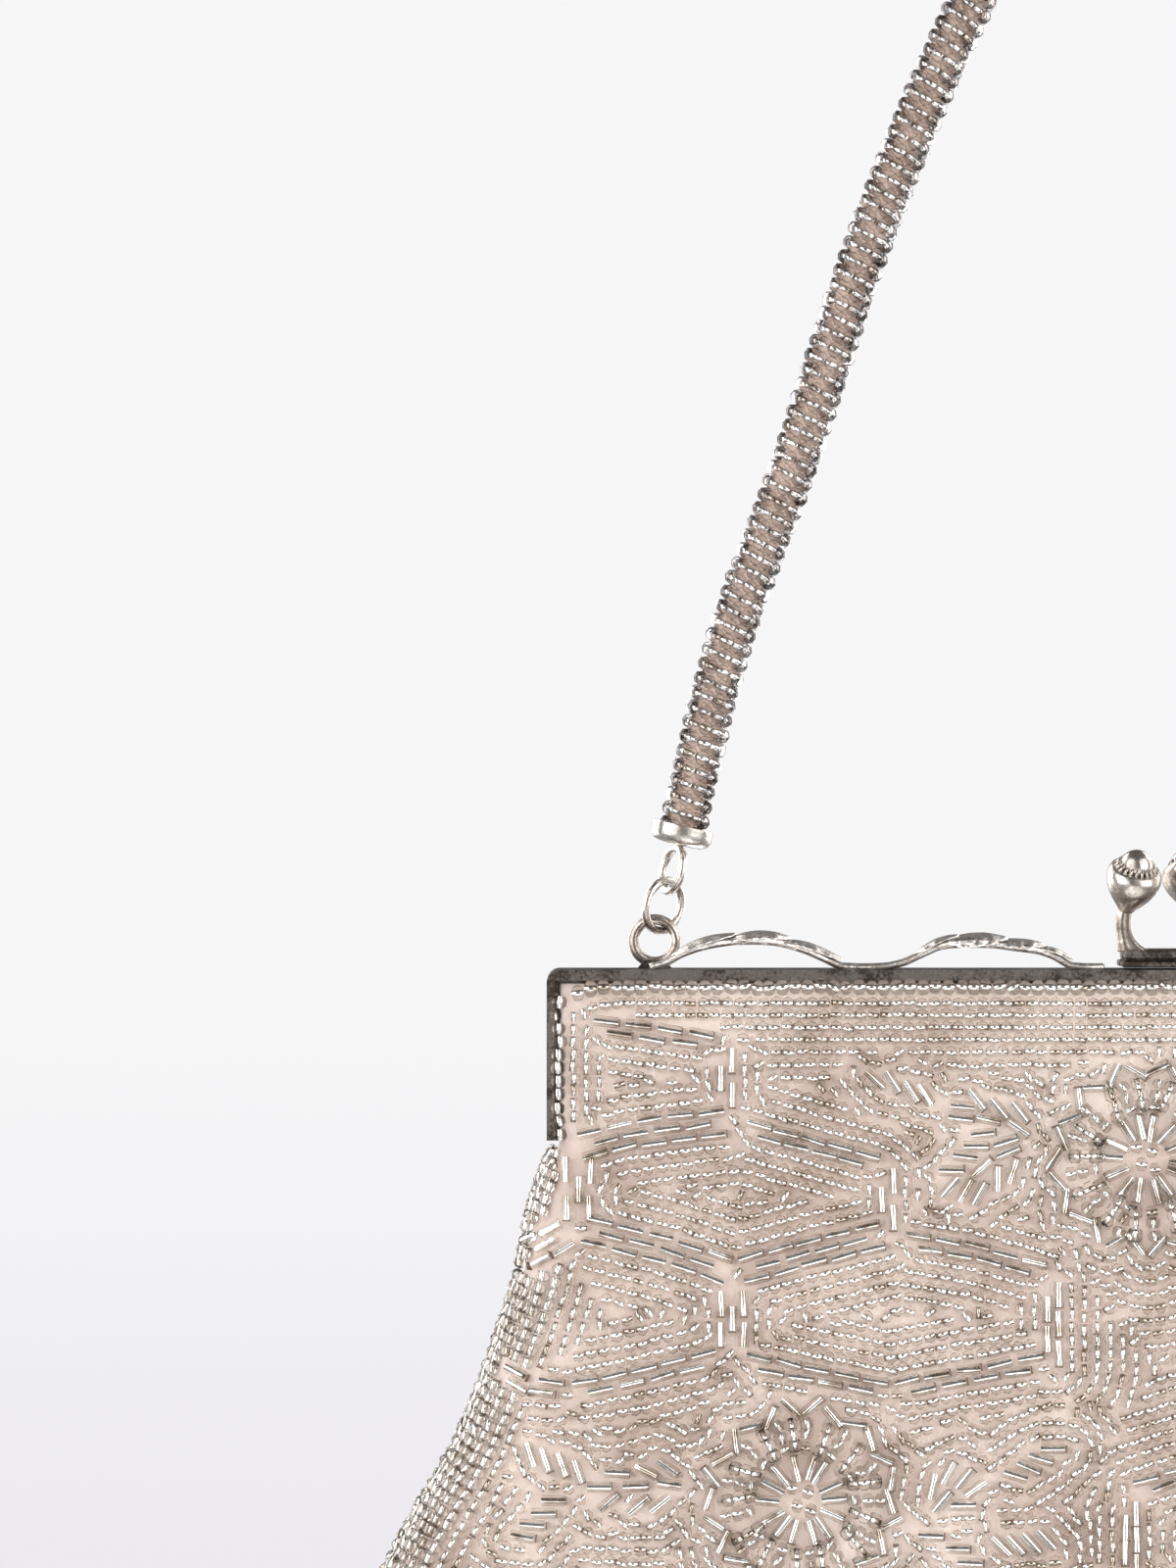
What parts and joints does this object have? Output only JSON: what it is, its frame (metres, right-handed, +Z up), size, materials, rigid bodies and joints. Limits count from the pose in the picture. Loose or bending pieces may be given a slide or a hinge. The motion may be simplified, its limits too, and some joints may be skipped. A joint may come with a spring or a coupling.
{
  "type": "beaded shoulder bag",
  "caption": "Flared evening bag closely sewn with glass beads, on a hinged metal frame with a kiss clasp and scroll trim, hung from a bead-wound strap by jump rings.",
  "frame": {"origin": "underside of the strap at its highest point, where a shoulder or a hook carries it", "axes": "+Z up, +Y from the front of the bag to its back, +X along the frame to the right as seen from the front"},
  "size_m": [0.22, 0.025, 0.2982],
  "materials": {
    "beaded_cloth": "beige cloth closely sewn with clear silver-lined glass seed beads and bugles",
    "strap_beads": "clear silver-lined seed beads wound on a peach cord",
    "tarnished_silver_plate": "worn and tarnished silver plate",
    "silver_plate": "polished silver plate, slightly tarnished"
  },
  "bodies": {
    "root": {"bag_body": "beaded_cloth", "front_frame": "tarnished_silver_plate", "back_frame": "tarnished_silver_plate", "hinge_pin_left": "tarnished_silver_plate", "hinge_pin_right": "tarnished_silver_plate", "front_clasp": "silver_plate", "back_clasp": "silver_plate", "jump_ring_left": "silver_plate", "jump_ring_right": "silver_plate", "strap_cap_left": "silver_plate", "strap_cap_right": "silver_plate", "beaded_strap": "strap_beads"}
  },
  "joints": []
}
